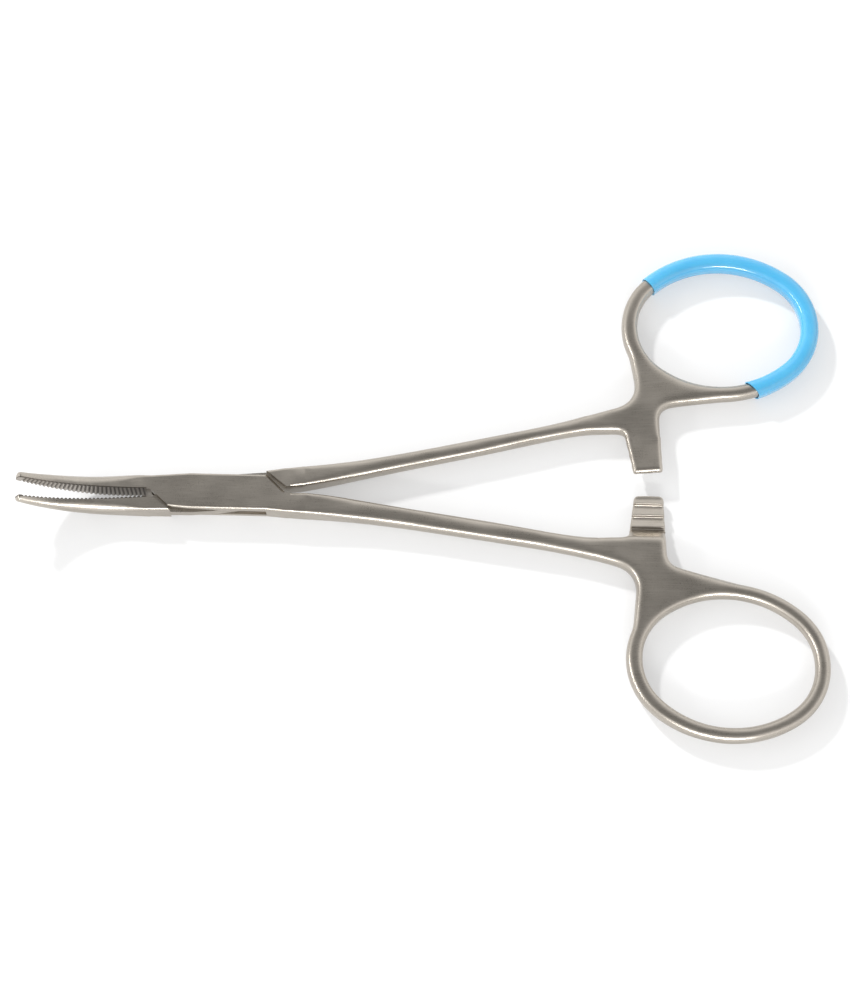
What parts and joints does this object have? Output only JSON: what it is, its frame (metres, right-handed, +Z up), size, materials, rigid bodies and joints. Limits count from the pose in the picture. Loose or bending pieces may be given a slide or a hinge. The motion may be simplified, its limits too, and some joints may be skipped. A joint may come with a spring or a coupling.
{
  "type": "artery forceps",
  "caption": "Curved mosquito pattern artery forceps with a box lock, serrated jaws, a ratchet and finger rings, one ring dip coated blue.",
  "frame": {"origin": "axis of the lock pin at the flat underside of the box lock", "axes": "-X along the jaws to the tips, +X to the finger rings, +Y to the coated ring, +Z up through the lock along its pin, the side that the jaws curve to"},
  "size_m": [0.1263, 0.081, 0.0074],
  "materials": {
    "box_half_steel": "satin",
    "tongue_half_steel": "satin",
    "pin_steel": "satin",
    "blue_coating": "gloss"
  },
  "bodies": {
    "box_body": {"box_half": "box_half_steel", "pivot_pin": "pin_steel"},
    "tongue_body": {"tongue_half": "tongue_half_steel", "ring_coating": "blue_coating"}
  },
  "joints": [
    {"name": "lock_hinge", "type": "hinge", "parent": "box_body", "child": "tongue_body", "pos_m": [0, 0, 0.0018], "axis": [0, 0, 1], "range_deg": [-5.1, 40]}
  ]
}
